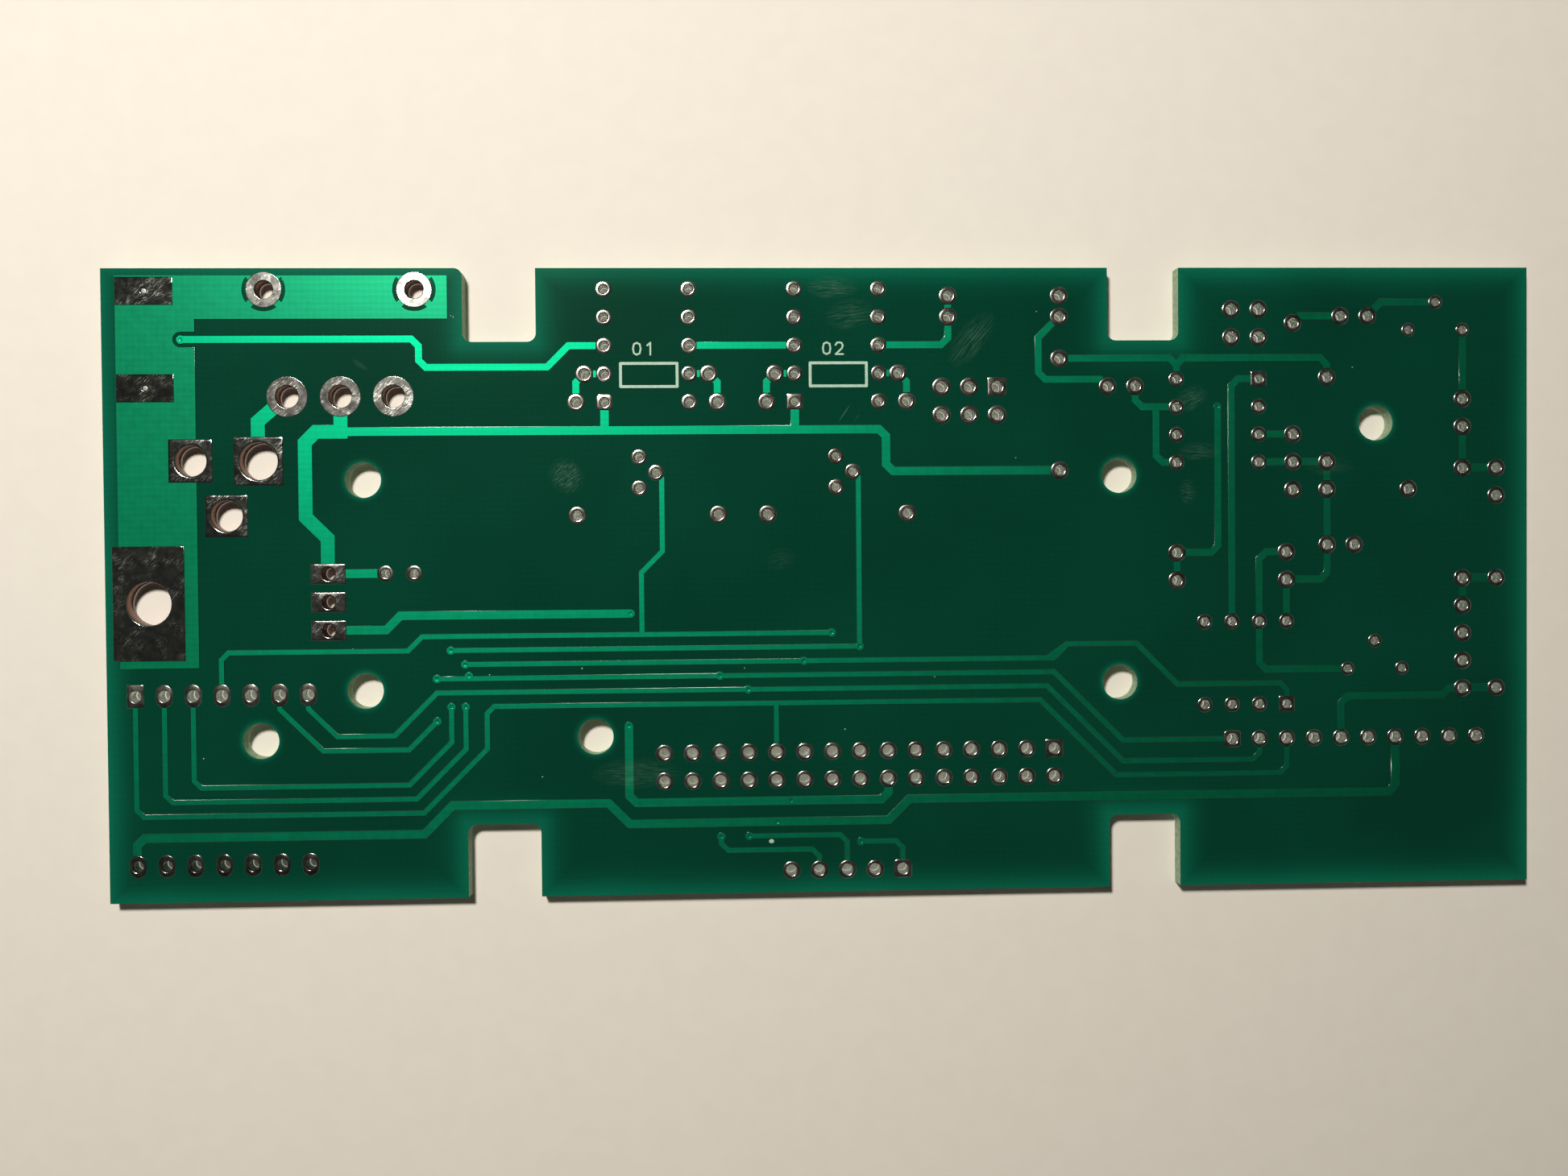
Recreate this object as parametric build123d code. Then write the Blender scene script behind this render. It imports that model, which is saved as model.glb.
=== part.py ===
from build123d import *
import math
import os

# A bare signal generator board, seen from its solder side: a routed and drilled glass-epoxy sheet,
# etched copper tracks and a copper pour under green lacquer, and tinned lands round the drilled holes.
# Millimetres, +Z out of the solder side, origin under the middle of the sheet.

mil = 0.0254  # the layout is drawn on a 25 mil grid, and its points are given in mil

# Sheet
board_length = 129.2
board_width = 56.6
board_thickness = 1.6
# The datum of the layout is the square land of the fifteen-pair header
datum_from_left = 85.04
datum_from_bottom = 12.8

# Notches in the long edges, two on each side
notch_width = 6.55
notch_depth = 6.6
notch_corner = 0.8
left_notch_from_left = 35.05
right_notch_from_left = 93.4
worn_corner = 0.7  # the rounded corner beside the upper left notch

# Unplated holes for screws: four round the display, two beside the module and one alone
screw_hole = 3.2
display_centre = (-1104.5, 608)
display_hole_span_x = 68.35
display_hole_span_y = 18.9
module_centre = (-2230, 63)
module_hole_span = 29.8
single_hole = (1179, 1164)

# Copper
copper_height = 0.05
thin_track = 0.43
middle_track = 0.61
broad_track = 0.75
power_track = 1.22
via_land = 0.7
via_hole = 0.35
moat = 0.33  # gap in the pour round a thermal land
spoke = 0.6  # copper bridge across that gap
slot_width = 1.4  # gap in the pour round the end of the upper track

# Small round lands and their holes, which repeat in their hundreds, are eight-sided
round_from_hole = 1.5
octagon_cut = 1 - math.sqrt(0.5)

x_shift = datum_from_left - board_length / 2
y_shift = datum_from_bottom - board_width / 2


def at(point):
    """A point of the layout, in mil from the datum, as millimetres on the sheet."""
    x, y = point
    return x * mil + x_shift, y * mil + y_shift


def row(first, count, dx=0, dy=0):
    x, y = first
    return [(x + i * dx, y + i * dy) for i in range(count)]


def small_round(width, height):
    """A round or long-round outline with eight sides, flats square to the tracks that meet it."""
    box = Rectangle(width, height)
    return chamfer(box.vertices(), min(width, height) * octagon_cut)


def land_outline(land, square):
    if square:
        return Rectangle(land["width"], land["height"])
    if land["hole"] >= round_from_hole:
        return Circle(land["width"] / 2)
    return small_round(land["width"], land["height"])


def hole_outline(diameter):
    if diameter >= round_from_hole:
        return Circle(diameter / 2)
    return small_round(diameter, diameter)


def lands(width, height, hole, points, square=()):
    """One group of lands of a size: where they are, and which of them are square."""
    return {"width": width, "height": height, "hole": hole, "points": points, "square": square}


# Lands by footprint. The first pin of each is square.
footprints = {
    "long_header_lands": [
        lands(1.6, 1.6, 1.0, row((0, 0), 15, dx=-100) + row((0, -100), 15, dx=-100), [(0, 0)]),
    ],
    "upper_row_lands": [lands(1.5, 2.05, 1.05, row((-3250, 225), 7, dx=100), [(-3250, 225)])],
    "lower_row_lands": [lands(1.5, 2.05, 1.05, row((-3250, -375), 7, dx=100))],
    "five_pin_lands": [lands(1.65, 1.65, 1.0, row((-950, -425), 5, dx=100), [(-550, -425)])],
    "ten_pin_lands": [lands(1.55, 1.55, 1.0, row((650, 25), 10, dx=100), [(650, 25)])],
    "six_pin_lands": [
        lands(1.7, 1.7, 1.0, row((-400, 1300), 3, dx=100) + row((-400, 1200), 3, dx=100), [(-200, 1300)]),
    ],
    "four_pin_lands": [lands(1.65, 1.65, 1.0, row((650, 1575), 2, dx=100) + row((650, 1475), 2, dx=100))],
    "two_pin_lands": [lands(1.45, 1.45, 0.8, row((-2375, 650), 2, dx=100))],
    "upper_chip_lands": [
        lands(1.42, 1.42, 0.8, row((450, 1025), 4, dy=100) + row((750, 1025), 4, dy=100), [(750, 1325)]),
    ],
    "lower_chip_lands": [
        lands(1.42, 1.42, 0.8, row((550, 450), 4, dx=100) + row((550, 150), 4, dx=100), [(850, 150)]),
    ],
    "left_block_lands": [
        lands(1.45, 1.45, 0.8, row((-1600, 1250), 5, dy=100) + row((-1300, 1250), 5, dy=100), [(-1600, 1250)]),
        lands(1.6, 1.6, 0.9, [(-1670, 1350), (-1700, 1250), (-1230, 1350), (-1200, 1250)]),
    ],
    "right_block_lands": [
        lands(1.45, 1.45, 0.8, row((-925, 1250), 5, dy=100) + row((-625, 1250), 5, dy=100), [(-925, 1250)]),
        lands(1.6, 1.6, 0.9, [(-995, 1350), (-1025, 1250), (-555, 1350), (-525, 1250)]),
    ],
    "left_driver_lands": [
        lands(1.45, 1.45, 0.8, [(-1480, 1055), (-1420, 1000), (-1480, 945)]),
        lands(1.63, 1.63, 0.9, [(-1700, 850), (-1200, 850)]),
    ],
    "right_driver_lands": [
        lands(1.45, 1.45, 0.8, [(-780, 1055), (-720, 1000), (-780, 945)]),
        lands(1.63, 1.63, 0.9, [(-1025, 850), (-525, 850)]),
    ],
    "input_part_lands": [
        lands(1.63, 1.63, 0.9, [(-375, 1625), (-375, 1550), (25, 1625), (25, 1550), (25, 1400), (25, 1000)]),
        lands(1.63, 1.63, 0.9, [(200, 1300), (300, 1300)]),
    ],
    "output_part_lands": [
        lands(1.63, 1.63, 0.9, [(875, 1525), (1050, 1550), (1150, 1550), (1000, 1330)]),
        lands(1.63, 1.63, 0.9, row((1500, 1150), 2, dy=100) + [(1500, 1000), (1625, 1000), (1625, 900)]),
        lands(1.27, 1.27, 0.7, [(1400, 1600), (1300, 1500), (1500, 1500)]),
    ],
    "centre_part_lands": [
        lands(1.63, 1.63, 0.9, row((875, 925), 3, dy=100) + row((1000, 925), 2, dy=100) + [(1300, 925)]),
        lands(1.63, 1.63, 0.9, row((1000, 725), 2, dx=100)),
        lands(1.63, 1.63, 0.9, row((850, 600), 2, dy=100) + row((450, 600), 2, dy=100)),
    ],
    "edge_part_lands": [
        lands(1.63, 1.63, 0.9, row((1500, 200), 5, dy=100) + [(1625, 600), (1625, 200)]),
        lands(1.27, 1.27, 0.7, [(1175, 375), (1075, 275), (1275, 275)]),
    ],
    "regulator_lands": [
        lands(3.1, 1.8, 1.2, row((-2575, 450), 3, dy=100), row((-2575, 450), 3, dy=100)),
    ],
    "power_pin_lands": [lands(3.65, 3.65, 2.05, row((-2710, 1274), 3, dx=185))],
    "jack_lands": [
        lands(3.85, 3.85, 2.8, [(-3047, 1050)], [(-3047, 1050)]),
        lands(4.35, 4.35, 3.4, [(-2812, 1048)], [(-2812, 1048)]),
        lands(3.75, 3.75, 2.85, [(-2925, 856)], [(-2925, 856)]),
    ],
    "thermal_lands": [lands(3.2, 3.2, 1.65, [(-2786, 1649), (-2263, 1649)])],
    "tab_land": [lands(6.35, 10.25, 3.95, [(-3198, 550)], [(-3198, 550)])],
    "bare_plates": [lands(5.08, 2.5, 0.5, [(-3200, 1645), (-3200, 1305)], [(-3200, 1645), (-3200, 1305)])],
}

# Small plated holes under the lacquer, each in the copper of the track that it lies on
vias = [
    (-3075, 1475), (-1515, 500), (-800, 425), (-2150, 375), (-700, 375), (-2100, 325), (-900, 325), (-2200, 275),
    (-1200, 275), (-2087, 284), (-1100, 225), (-2150, 175), (-2100, 175), (-2200, 125), (-1525, 100),
    (-950, -175), (-1000, -250), (-1200, -300), (-1100, -300), (-700, -325), (600, 1225),
]

# Tracks by net: a width and one or more runs from land to land
nets = {
    "upper_feed_track": (middle_track, [
        [(-3075, 1475), (-2275, 1475), (-2250, 1450), (-2250, 1400), (-2225, 1375), (-1800, 1375), (-1725, 1450),
         (-1600, 1450)],
    ]),
    "supply_rail": (broad_track, [
        [(-2525, 1150), (-625, 1150), (-600, 1125), (-600, 1025), (-575, 1000), (25, 1000)],
        [(-1600, 1250), (-1600, 1150)],
        [(-925, 1250), (-925, 1150)],
    ]),
    "jack_link": (power_track, [[(-2710, 1275), (-2812, 1187), (-2812, 1048)]]),
    "regulator_link": (broad_track, [[(-2575, 650), (-2375, 650)]]),
    "regulator_feed": (broad_track, [[(-2575, 450), (-2375, 450), (-2325, 500), (-1515, 500)]]),
    "bus_track_1": (thin_track, [
        [(-2950, 225), (-2950, 350), (-2925, 375), (-2300, 375), (-2250, 425), (-800, 425)],
        [(-1475, 425), (-1475, 645), (-1400, 720), (-1400, 980), (-1420, 1000)],
    ]),
    "bus_track_2": (thin_track, [[(-2150, 375), (-700, 375), (-700, 980), (-720, 1000)]]),
    "bus_track_3": (thin_track, [
        [(-2100, 325), (0, 325), (50, 375), (300, 375), (450, 225), (825, 225), (850, 200), (850, 150)],
        [(-25, 325), (50, 375)],
    ]),
    "bus_track_4": (thin_track, [[(-2200, 275), (0, 275), (250, 25), (650, 25)]]),
    "bus_track_5": (thin_track, [
        [(-2650, 225), (-2650, 175), (-2550, 75), (-2350, 75), (-2200, 225), (-25, 225), (250, -50), (725, -50),
         (750, -25), (750, 25)],
    ]),
    "bus_track_6": (thin_track, [
        [(-3250, 225), (-3250, -175), (-3225, -200), (-2250, -200), (-2025, 25), (-2025, 150), (-2000, 175),
         (-50, 175), (225, -100), (825, -100), (850, -75), (850, 25)],
        [(-1000, 175), (-1000, 0)],
    ]),
    "row_track_1": (thin_track, [[(-2750, 225), (-2750, 175), (-2600, 25), (-2300, 25), (-2200, 125)]]),
    "row_track_2": (thin_track, [
        [(-3050, 225), (-3050, -75), (-3025, -100), (-2300, -100), (-2150, 50), (-2150, 175)],
    ]),
    "row_track_3": (thin_track, [
        [(-3150, 225), (-3150, -125), (-3125, -150), (-2275, -150), (-2100, 25), (-2100, 175)],
    ]),
    "border_track": (broad_track, [
        [(-3250, -375), (-3250, -300), (-3225, -275), (-2250, -275), (-2150, -175), (-1600, -175), (-1525, -250),
         (-600, -250), (-525, -175), (1225, -175), (1250, -150), (1250, 25)],
    ]),
    "header_supply_track": (broad_track, [
        [(-1525, 100), (-1525, -150), (-1500, -175), (-625, -175), (-600, -150), (-600, -100)],
    ]),
    "five_pin_track_1": (thin_track, [
        [(-1200, -300), (-1200, -325), (-1175, -350), (-875, -350), (-850, -375), (-850, -425)],
    ]),
    "five_pin_track_2": (thin_track, [[(-1100, -300), (-775, -300), (-750, -325), (-750, -425)]]),
    "five_pin_track_3": (thin_track, [[(-700, -325), (-575, -325), (-550, -350), (-550, -425)]]),
    "block_link": (middle_track, [[(-1300, 1450), (-925, 1450)]]),
    "block_side_links": (middle_track, [
        [(-1600, 1350), (-1670, 1350), (-1700, 1320), (-1700, 1250)],
        [(-1300, 1350), (-1230, 1350), (-1200, 1320), (-1200, 1250)],
        [(-925, 1350), (-995, 1350), (-1025, 1320), (-1025, 1250)],
        [(-625, 1350), (-555, 1350), (-525, 1320), (-525, 1250)],
    ]),
    "input_track_1": (middle_track, [[(-625, 1450), (-400, 1450), (-375, 1475), (-375, 1625)]]),
    "input_track_2": (middle_track, [
        [(25, 1550), (-50, 1475), (-50, 1350), (-25, 1325), (175, 1325), (200, 1300)],
    ]),
    "chip_track_1": (middle_track, [
        [(25, 1400), (425, 1400), (450, 1375), (450, 1325)],
        [(450, 1375), (475, 1400), (975, 1400), (1000, 1375), (1000, 1330)],
    ]),
    "chip_track_2": (middle_track, [
        [(300, 1300), (300, 1250), (325, 1225), (450, 1225)],
        [(375, 1225), (375, 1050), (400, 1025), (450, 1025)],
    ]),
    "chip_track_3": (middle_track, [[(600, 1225), (600, 725), (575, 700), (450, 700), (450, 600)]]),
    "chip_track_4": (middle_track, [[(750, 1325), (675, 1325), (650, 1300), (650, 450)]]),
    "chip_track_5": (middle_track, [
        [(750, 1025), (1000, 1025), (1000, 625), (975, 600), (850, 600), (850, 450)],
        [(750, 1125), (875, 1125)],
    ]),
    "chip_track_6": (middle_track, [[(850, 700), (775, 700), (750, 675), (750, 300), (775, 275), (1075, 275)]]),
    "output_tracks": (middle_track, [
        [(875, 1525), (900, 1550), (1050, 1550)],
        [(1150, 1550), (1200, 1600), (1400, 1600)],
        [(1500, 1500), (1500, 1250)],
        [(1500, 1150), (1500, 1000), (1625, 1000)],
    ]),
    "edge_tracks": (middle_track, [
        [(1625, 600), (1500, 600), (1500, 500)],
        [(1625, 200), (1450, 200), (1425, 175), (1075, 175), (1050, 150), (1050, 25)],
    ]),
}
# The broad arm of the supply rail, from the middle power pin down to the regulator
rail_arm = [(-2525, 1275), (-2525, 1150), (-2612, 1150), (-2650, 1112), (-2650, 850), (-2575, 775), (-2575, 650)]

# The pour, an L up the left edge and along the top, as its corners in mil
pour_corners = [(-3299, 323), (-3027, 323), (-3027, 1547), (-2149, 1547), (-2149, 1698), (-3299, 1698)]


def all_lands():
    """Every land with its point and whether it is square."""
    for groups in footprints.values():
        for land in groups:
            for point in land["points"]:
                yield land, point, point in land["square"]


def screw_places():
    """Where the unplated screw holes are, on the sheet."""
    display = Pos(*at(display_centre)) * GridLocations(display_hole_span_x, display_hole_span_y, 2, 2)
    module = Pos(*at(module_centre)) * GridLocations(module_hole_span, 1, 2, 1)
    return [*display, *module, Pos(*at(single_hole))]


def sheet_outline():
    """The routed outline, with its four notches."""
    outline = Rectangle(board_length, board_width)
    for from_left in (left_notch_from_left, right_notch_from_left):
        for side in (-1, 1):
            x = from_left - board_length / 2
            # the notch runs past the edge, so that only its inner corners are rounded
            notch = fillet(Rectangle(notch_width, 2 * notch_depth).vertices(), notch_corner)
            outline -= Pos(x, side * board_width / 2) * notch
    corner_x = left_notch_from_left - board_length / 2 - notch_width / 2
    worn = [
        v
        for v in outline.vertices()
        if abs(v.X - corner_x) < 0.01 and abs(v.Y - board_width / 2) < 0.01
    ]
    return fillet(worn, worn_corner)


def laminate():
    """The sheet with every hole drilled through it."""
    holes = [Pos(*at(point)) * hole_outline(land["hole"]) for land, point, _ in all_lands()]
    holes += [place * Circle(screw_hole / 2) for place in screw_places()]
    face = Face(sheet_outline().faces()[0].outer_wire(), [h.faces()[0].outer_wire() for h in holes])
    return extrude(face, board_thickness, dir=(0, 0, 1))


def raised(sketch):
    """A flat copper shape, standing on the solder side."""
    return extrude(Pos(0, 0, board_thickness) * sketch, copper_height, dir=(0, 0, 1))


def land_group(groups):
    rings = []
    for land in groups:
        for point in land["points"]:
            ring = land_outline(land, point in land["square"]) - hole_outline(land["hole"])
            rings.append(Pos(*at(point)) * raised(ring))
    return Compound(children=rings)


def lands_touching(sketch):
    """The outlines of the lands that a copper shape runs into, so that it can stop at them."""
    box = sketch.bounding_box()
    for land, point, square in all_lands():
        x, y = at(point)
        reach_x, reach_y = land["width"] / 2, land["height"] / 2
        if box.min.X - reach_x < x < box.max.X + reach_x and box.min.Y - reach_y < y < box.max.Y + reach_y:
            yield Pos(x, y) * land_outline(land, square)


def run(points, width):
    """One run of track, with mitred corners."""
    return trace(Polyline(*[at(p) for p in points]), width)


def track(width, runs):
    """A track, stopped at the lands that it joins and widened round its small plated holes."""
    shape = Sketch() + [run(points, width) for points in runs]
    own_vias = [Pos(*at(via)) for via in vias if shape.distance_to(Vertex(*at(via))) < via_land / 2]
    shape += [place * small_round(via_land, via_land) for place in own_vias]
    shape -= [place * small_round(via_hole, via_hole) for place in own_vias]
    return shape - list(lands_touching(shape))


def pour():
    """The copper pour, cut back round the thermal lands and the end of the upper track."""
    shape = make_face(Polyline(*[at(p) for p in pour_corners], close=True))
    for thermal in footprints["thermal_lands"]:
        ring = Circle(thermal["width"] / 2 + moat) - Circle(thermal["width"] / 2)
        for angle in (45, 135):
            ring -= Rot(0, 0, angle) * Rectangle(2 * thermal["width"], spoke)
        for point in thermal["points"]:
            shape -= Pos(*at(point)) * ring
    first, second = nets["upper_feed_track"][1][0][:2]
    slot = Pos(*at(first)) * Circle(slot_width / 2) + run([first, second], slot_width)
    shape -= slot
    return shape - list(lands_touching(shape))


parts = {"laminate": laminate(), "copper_pour": raised(pour())}
for name, groups in footprints.items():
    parts[name] = land_group(groups)
for name, (width, runs) in nets.items():
    shape = track(width, runs)
    if name == "supply_rail":
        shape = track(power_track, [rail_arm]) + shape
    parts[name] = raised(shape)

os.makedirs("parts", exist_ok=True)
for name, part in parts.items():
    export_step(part, f"parts/{name}.step")
    print(name, round(part.volume, 3))
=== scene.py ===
import math
import random
import bmesh
import bpy
from mathutils import Matrix, Vector


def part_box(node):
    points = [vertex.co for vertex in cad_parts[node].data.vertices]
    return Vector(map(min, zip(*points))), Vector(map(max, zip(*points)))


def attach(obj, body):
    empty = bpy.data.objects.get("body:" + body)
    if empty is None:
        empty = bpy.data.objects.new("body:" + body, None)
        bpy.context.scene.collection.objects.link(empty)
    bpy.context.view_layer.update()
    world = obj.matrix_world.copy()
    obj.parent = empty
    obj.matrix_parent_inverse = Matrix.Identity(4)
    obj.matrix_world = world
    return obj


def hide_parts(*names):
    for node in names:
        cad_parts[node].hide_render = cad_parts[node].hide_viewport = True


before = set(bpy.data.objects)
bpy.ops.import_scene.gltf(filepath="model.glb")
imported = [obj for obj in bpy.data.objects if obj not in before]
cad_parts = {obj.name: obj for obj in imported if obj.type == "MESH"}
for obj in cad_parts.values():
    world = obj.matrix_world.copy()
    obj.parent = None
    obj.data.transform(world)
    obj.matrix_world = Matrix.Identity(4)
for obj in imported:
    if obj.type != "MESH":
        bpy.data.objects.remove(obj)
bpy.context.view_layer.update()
scene = bpy.context.scene
scene.view_settings.view_transform = "Standard"
print("frame loaded:", len(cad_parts), "nodes")

mm = 0.001
mil = 0.0254 * mm
mergeGap = 0.0005 * mm  # corners of the CAD's triangles that are closer than this are one
tiny = 1e-9
levelLimit = 0.9999  # a face whose normal rises more than this is level
sheetLow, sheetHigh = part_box("laminate")
sheetTop = sheetHigh.z
# the square land of the long header is the zero of the board's layout
squareLandHalf = 0.8 * mm
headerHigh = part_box("long_header_lands")[1]
layoutZero = (headerHigh.x - squareLandHalf, headerHigh.y - squareLandHalf)


def onBoard(xMil, yMil, z=sheetTop):
    # a point of the layout, in mil from its zero
    return Vector((layoutZero[0] + xMil * mil, layoutZero[1] + yMil * mil, z))


# Shader helpers

def shaderNode(tree, kind, settings=None, **values):
    node = tree.nodes.new(kind)
    for key, value in (settings or {}).items():
        setattr(node, key, value)
    for key, value in values.items():
        socket = node.inputs[int(key[1:])] if key[1:].isdigit() else node.inputs[key.replace("_", " ")]
        if isinstance(value, bpy.types.NodeSocket):
            tree.links.new(value, socket)
        else:
            socket.default_value = value
    return node


def mathNode(tree, operation, a, b=0.5, c=0.5, clamp=False):
    node = shaderNode(tree, "ShaderNodeMath", {"operation": operation, "use_clamp": clamp}, i0=a, i1=b, i2=c)
    return node.outputs[0]


def vectorNode(tree, operation, a, **values):
    return shaderNode(tree, "ShaderNodeVectorMath", {"operation": operation}, i0=a, **values).outputs


def mixColour(tree, factor, a, b):
    return shaderNode(tree, "ShaderNodeMix", {"data_type": "RGBA"}, i0=factor, i6=a, i7=b).outputs[2]


def smoothRange(tree, value, low, high, toLow=0.0, toHigh=1.0):
    settings = {"interpolation_type": "SMOOTHSTEP"}
    node = shaderNode(tree, "ShaderNodeMapRange", settings, i0=value, i1=low, i2=high, i3=toLow, i4=toHigh)
    return node.outputs[0]


def noiseField(tree, place, scale, detail=2.0, roughness=0.5):
    node = shaderNode(tree, "ShaderNodeTexNoise", None, Vector=place, Scale=scale, Detail=detail,
                      Roughness=roughness)
    return node.outputs[0]


def splitAxes(tree, vector):
    return shaderNode(tree, "ShaderNodeSeparateXYZ", None, i0=vector).outputs


def addBump(tree, bsdf, height, distance, strength):
    bump = shaderNode(tree, "ShaderNodeBump", None, Height=height, Distance=distance, Strength=strength)
    tree.links.new(bump.outputs[0], bsdf.inputs["Normal"])


def newMaskGroup(name, **inputs):
    # a group that makes a mask out of a place, with its other inputs at their usual values
    group = bpy.data.node_groups.new(name, "ShaderNodeTree")
    group.interface.new_socket("Vector", in_out="INPUT", socket_type="NodeSocketVector")
    for label, value in inputs.items():
        kind = "NodeSocketFloat" if isinstance(value, float) else "NodeSocketVector"
        group.interface.new_socket(label, in_out="INPUT", socket_type=kind).default_value = value
    group.interface.new_socket("Mask", in_out="OUTPUT", socket_type="NodeSocketFloat")
    given = group.nodes.new("NodeGroupInput").outputs
    mask = group.nodes.new("NodeGroupOutput").inputs["Mask"]
    return group, given, mask


def placeMask(tree, group, **values):
    return shaderNode(tree, "ShaderNodeGroup", {"node_tree": group}, **values).outputs["Mask"]


def newMaterial(name, **values):
    material = bpy.data.materials.new(name)
    material.use_nodes = True
    bsdf = material.node_tree.nodes["Principled BSDF"]
    for key, value in values.items():
        bsdf.inputs[key.replace("_", " ")].default_value = value
    place = shaderNode(material.node_tree, "ShaderNodeTexCoord").outputs["Object"]
    return material, material.node_tree, bsdf, place


# Mesh helpers

def mergedCopy(node):
    # the mesh of a CAD node with its loose triangles joined up
    bm = bmesh.new()
    bm.from_mesh(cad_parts[node].data)
    bmesh.ops.remove_doubles(bm, verts=bm.verts, dist=mergeGap)
    bm.normal_update()
    return bm


def vertsOf(geometry):
    return [g for g in geometry if isinstance(g, bmesh.types.BMVert)]


def growEdges(bm, edges, notes):
    # extrudes edges on the spot; each new vertex takes over the note of the one that it grew from
    noteAt = {v.co.to_tuple(9): note for v, note in notes.items()}
    grown = bmesh.ops.extrude_edge_only(bm, edges=edges)["geom"]
    newNotes = {v: noteAt[v.co.to_tuple(9)] for v in vertsOf(grown)}
    return [g for g in grown if isinstance(g, bmesh.types.BMEdge)], newNotes


def finishPiece(bm, name, materials, replaced=(), smooth=True):
    for f in bm.faces:
        f.smooth = smooth and abs(f.normal.z) < levelLimit
    mesh = bpy.data.meshes.new(name)
    bm.to_mesh(mesh)
    bm.free()
    for material in materials:
        mesh.materials.append(material)
    piece = bpy.data.objects.new(name + "_finished", mesh)
    scene.collection.objects.link(piece)
    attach(piece, "root")
    if replaced:
        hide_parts(*replaced)


# Shader groups that more than one finish uses

patchLook = {
    "fullShare": 0.25,  # of the oval's reach, where the patch is at its strongest
    "stretch": (0.5, 3.0, 1.0),
    "streakEdge": (0.42, 0.68),
    "depth": 10 * mm,
}


def makePatchGroup():
    # a soft-edged oval patch, broken up by streaks that run along it
    look = patchLook
    group, given, mask = newMaskGroup("softPatch", Centre=(0, 0, 0), Turn=(0, 0, 0), Size=(1, 1, 1),
                                      Streaks=4.0, Solid=0.0, Amount=0.5)
    local = shaderNode(group, "ShaderNodeMapping", {"vector_type": "TEXTURE"}, Vector=given["Vector"],
                       Location=given["Centre"], Rotation=given["Turn"], Scale=given["Size"]).outputs[0]
    reach = vectorNode(group, "LENGTH", local)["Value"]
    oval = smoothRange(group, reach, 1.0, look["fullShare"])
    stretched = vectorNode(group, "MULTIPLY", local, i1=look["stretch"])[0]
    noise = noiseField(group, stretched, given["Streaks"], 5.0, 0.65)
    broken = mathNode(group, "MAXIMUM", smoothRange(group, noise, *look["streakEdge"]), given["Solid"])
    patch = mathNode(group, "MULTIPLY", oval, broken)
    group.links.new(mathNode(group, "MULTIPLY", patch, given["Amount"]), mask)
    return group


scratchLook = {
    "stretch": (0.8, 6.0, 1.0),
    "lineEdge": (0.52, 0.66),
    "patchScale": 700.0,
    "patchEdge": (0.4, 0.62),
}


def makeScratchGroup():
    # fine lines in one direction, long and thin, in patches
    look = scratchLook
    group, given, mask = newMaskGroup("fineScratches", Turn=(0, 0, 0), Scale=900.0, Amount=0.5)
    turned = shaderNode(group, "ShaderNodeMapping", None, Vector=given["Vector"],
                        Rotation=given["Turn"]).outputs[0]
    stretched = vectorNode(group, "MULTIPLY", turned, i1=look["stretch"])[0]
    lines = smoothRange(group, noiseField(group, stretched, given["Scale"], 4.0, 0.7), *look["lineEdge"])
    patches = smoothRange(group, noiseField(group, given["Vector"], look["patchScale"]), *look["patchEdge"])
    fine = mathNode(group, "MULTIPLY", lines, patches)
    group.links.new(mathNode(group, "MULTIPLY", fine, given["Amount"]), mask)
    return group


clothLook = {
    "pitch": 0.55 * mm,
    "wobbleScale": 900.0,
    # two sets of threads: the axis that counts them, how much they wander, and how much they show
    "threads": ((1, 2.0, 0.3), (0, 3.0, 0.2)),
}


def makeClothGroup():
    # the glass cloth under the lacquer
    group, given, mask = newMaskGroup("glassCloth", Pitch=clothLook["pitch"])
    wobble = noiseField(group, given["Vector"], clothLook["wobbleScale"])
    axes = splitAxes(group, given["Vector"])
    turn = mathNode(group, "DIVIDE", 2 * math.pi, given["Pitch"])
    cloth = 0.5
    for axis, wander, share in clothLook["threads"]:
        shift = mathNode(group, "MULTIPLY", wobble, wander)
        wave = mathNode(group, "SINE", mathNode(group, "MULTIPLY_ADD", axes[axis], turn, shift))
        cloth = mathNode(group, "MULTIPLY_ADD", wave, share, cloth)
    group.links.new(cloth, mask)
    return group


softPatch = makePatchGroup()
fineScratches = makeScratchGroup()
glassCloth = makeClothGroup()

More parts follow.
